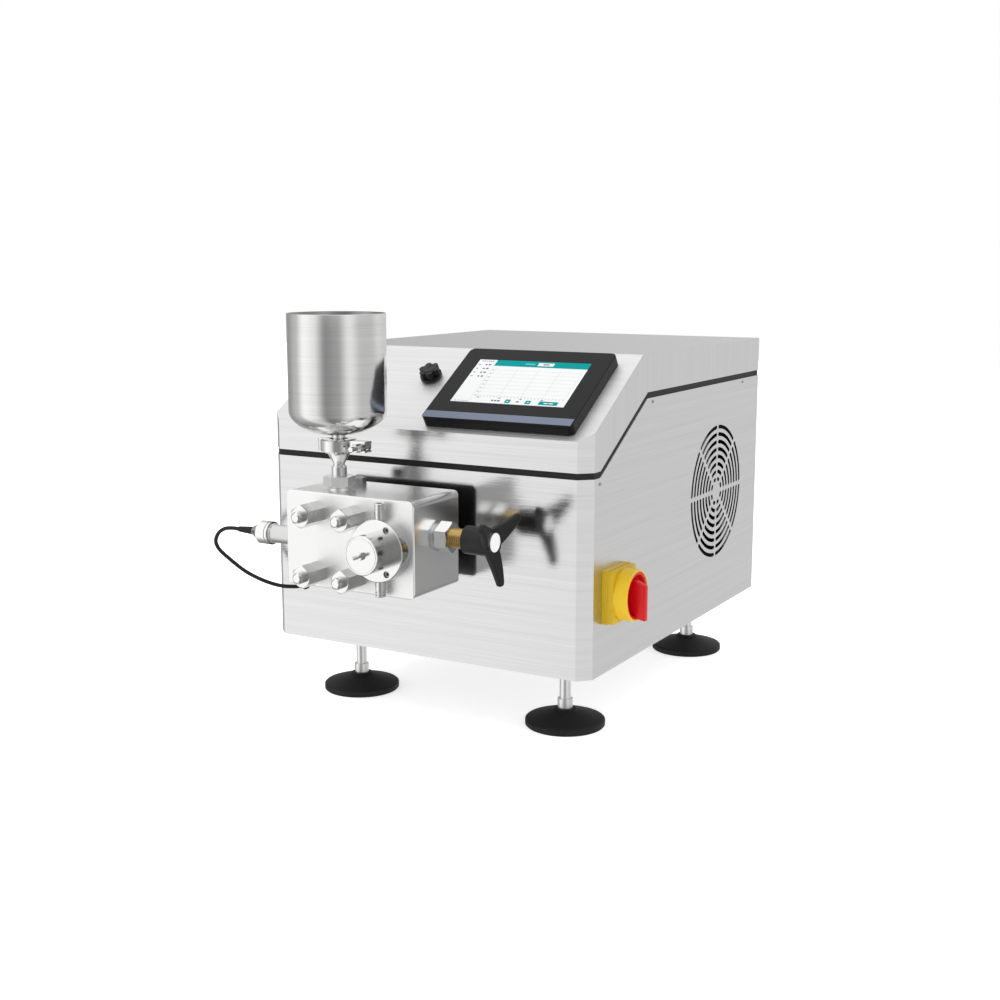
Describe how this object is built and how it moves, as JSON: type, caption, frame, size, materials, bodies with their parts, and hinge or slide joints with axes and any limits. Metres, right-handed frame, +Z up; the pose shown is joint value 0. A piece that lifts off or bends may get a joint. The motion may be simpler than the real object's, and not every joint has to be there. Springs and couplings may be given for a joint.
{
  "type": "dairy homogenizer",
  "caption": "Bench-top dairy homogenizer: steel housing on levelling feet, pump block with hopper, homogenizing valve and winged pressure handle, touch panel, side switch.",
  "frame": {"origin": "middle of the footprint (without the sensor cable) on the floor", "axes": "+Z up, the pump block faces -Y, +X to the right seen from the front"},
  "size_m": [0.543, 0.7596, 0.511],
  "materials": {
    "sheet_steel": "long horizontal brushing",
    "polished_steel": "polished, turned and milled",
    "hopper_steel": "rolled and brushed around",
    "dark_steel": "plain machined",
    "black_plastic": "fine grain",
    "black_rubber": "matt",
    "screen": "lit display behind glass",
    "grey_blue_strip": "printed film",
    "switch_yellow": "satin",
    "switch_red": "satin",
    "brass": "turned",
    "white_inset": "plain",
    "seal": "matt",
    "cast_housing": "cast and painted",
    "cast_iron": "turned"
  },
  "bodies": {
    "housing": {"front_panel": "sheet_steel", "right_side_panel": "sheet_steel", "left_side_panel": "sheet_steel", "rear_panel": "sheet_steel", "base_pan": "sheet_steel", "top_cover": "sheet_steel", "cover_gasket": "black_rubber", "side_screws": "dark_steel", "hmi_frame": "black_plastic", "hmi_screen": "screen", "hmi_strip": "grey_blue_strip", "knob_bush": "dark_steel", "switch_plate": "switch_yellow", "switch_collar": "switch_yellow", "fan_frame": "black_plastic", "foot_screws": "polished_steel", "pump_block": "polished_steel", "plunger_housing": "polished_steel", "plunger_packing": "black_rubber", "tie_studs": "polished_steel", "stud_nuts": "polished_steel", "valve_flange": "polished_steel", "valve_cap": "polished_steel", "flange_screws": "dark_steel", "cap_nipple": "polished_steel", "valve_nozzles": "polished_steel", "spindle_washer": "polished_steel", "spindle_nut": "polished_steel", "sensor_body": "polished_steel", "sensor_union": "polished_steel", "cable_boot": "black_rubber", "sensor_cable": "black_rubber", "cable_grommet": "black_rubber", "hopper": "hopper_steel", "inlet_adapter": "polished_steel", "inlet_union": "polished_steel", "inlet_nut": "polished_steel", "clamp_seal": "seal", "clamp_jaws": "polished_steel", "clamp_bolt": "polished_steel", "delivery_plug": "dark_steel", "crankcase": "cast_housing", "motor": "cast_housing", "drive_belt": "black_rubber", "mains_gland": "black_plastic"},
    "thrust": {"thrust_rod": "polished_steel"},
    "handle": {"brass_spindle": "brass", "pressure_handle": "black_plastic", "handle_inset": "white_inset"},
    "switch": {"switch_handle": "switch_red"},
    "knob": {"control_knob": "black_plastic"},
    "fan": {"fan_rotor": "black_plastic"},
    "clamp_wing": {"wing_nut": "polished_steel"},
    "plunger": {"plunger": "polished_steel"},
    "crank_drive": {"crank_pulley": "cast_iron"},
    "motor_drive": {"motor_pulley": "cast_iron"},
    "foot_fl": {"foot_pad_fl": "black_rubber"},
    "foot_fr": {"foot_pad_fr": "black_rubber"},
    "foot_rl": {"foot_pad_rl": "black_rubber"},
    "foot_rr": {"foot_pad_rr": "black_rubber"}
  },
  "joints": [
    {"name": "spindle_feed", "type": "slide", "parent": "housing", "child": "thrust", "axis": [-1, 0, 0], "range_m": [0, 0.006]},
    {"name": "handle_turn", "type": "hinge", "parent": "thrust", "child": "handle", "pos_m": [0.0855, -0.26525, 0.2575], "axis": [-1, 0, 0], "range_deg": [0, 1080]},
    {"name": "switch_turn", "type": "hinge", "parent": "housing", "child": "switch", "pos_m": [0.2285, -0.13025, 0.1815], "axis": [-1, 0, 0], "range_deg": [0, 90]},
    {"name": "knob_turn", "type": "hinge", "parent": "housing", "child": "knob", "pos_m": [-0.0585, -0.11206, 0.42412], "axis": [0, 0.53, -0.848], "range_deg": [-150, 150]},
    {"name": "fan_spin", "type": "hinge", "parent": "housing", "child": "fan", "pos_m": [0.1685, 0.19975, 0.256], "axis": [1, 0, 0], "continuous": true},
    {"name": "wing_nut_turn", "type": "hinge", "parent": "housing", "child": "clamp_wing", "pos_m": [-0.0465, -0.29425, 0.3565], "axis": [0, 1, 0], "continuous": true},
    {"name": "plunger_stroke", "type": "slide", "parent": "housing", "child": "plunger", "axis": [0, -1, 0], "range_m": [0, 0.02]},
    {"name": "crank_spin", "type": "hinge", "parent": "housing", "child": "crank_drive", "pos_m": [-0.1735, -0.09525, 0.203], "axis": [1, 0, 0], "continuous": true},
    {"name": "motor_spin", "type": "hinge", "parent": "housing", "child": "motor_drive", "pos_m": [-0.1735, 0.20475, 0.178], "axis": [1, 0, 0], "continuous": true},
    {"name": "pad_swivel_fl", "type": "hinge", "parent": "housing", "child": "foot_fl", "pos_m": [-0.176, -0.11025, 0.02], "axis": [0, 0, 1], "continuous": true},
    {"name": "pad_swivel_fr", "type": "hinge", "parent": "housing", "child": "foot_fr", "pos_m": [0.133, -0.11025, 0.02], "axis": [0, 0, 1], "continuous": true},
    {"name": "pad_swivel_rl", "type": "hinge", "parent": "housing", "child": "foot_rl", "pos_m": [-0.176, 0.28575, 0.02], "axis": [0, 0, 1], "continuous": true},
    {"name": "pad_swivel_rr", "type": "hinge", "parent": "housing", "child": "foot_rr", "pos_m": [0.133, 0.28575, 0.02], "axis": [0, 0, 1], "continuous": true}
  ],
  "couplings": [
    {"joint": "spindle_feed", "follows": "handle_turn", "m_per_rad": 0.00031831},
    {"joint": "motor_spin", "follows": "crank_spin", "ratio": 2.1348}
  ]
}
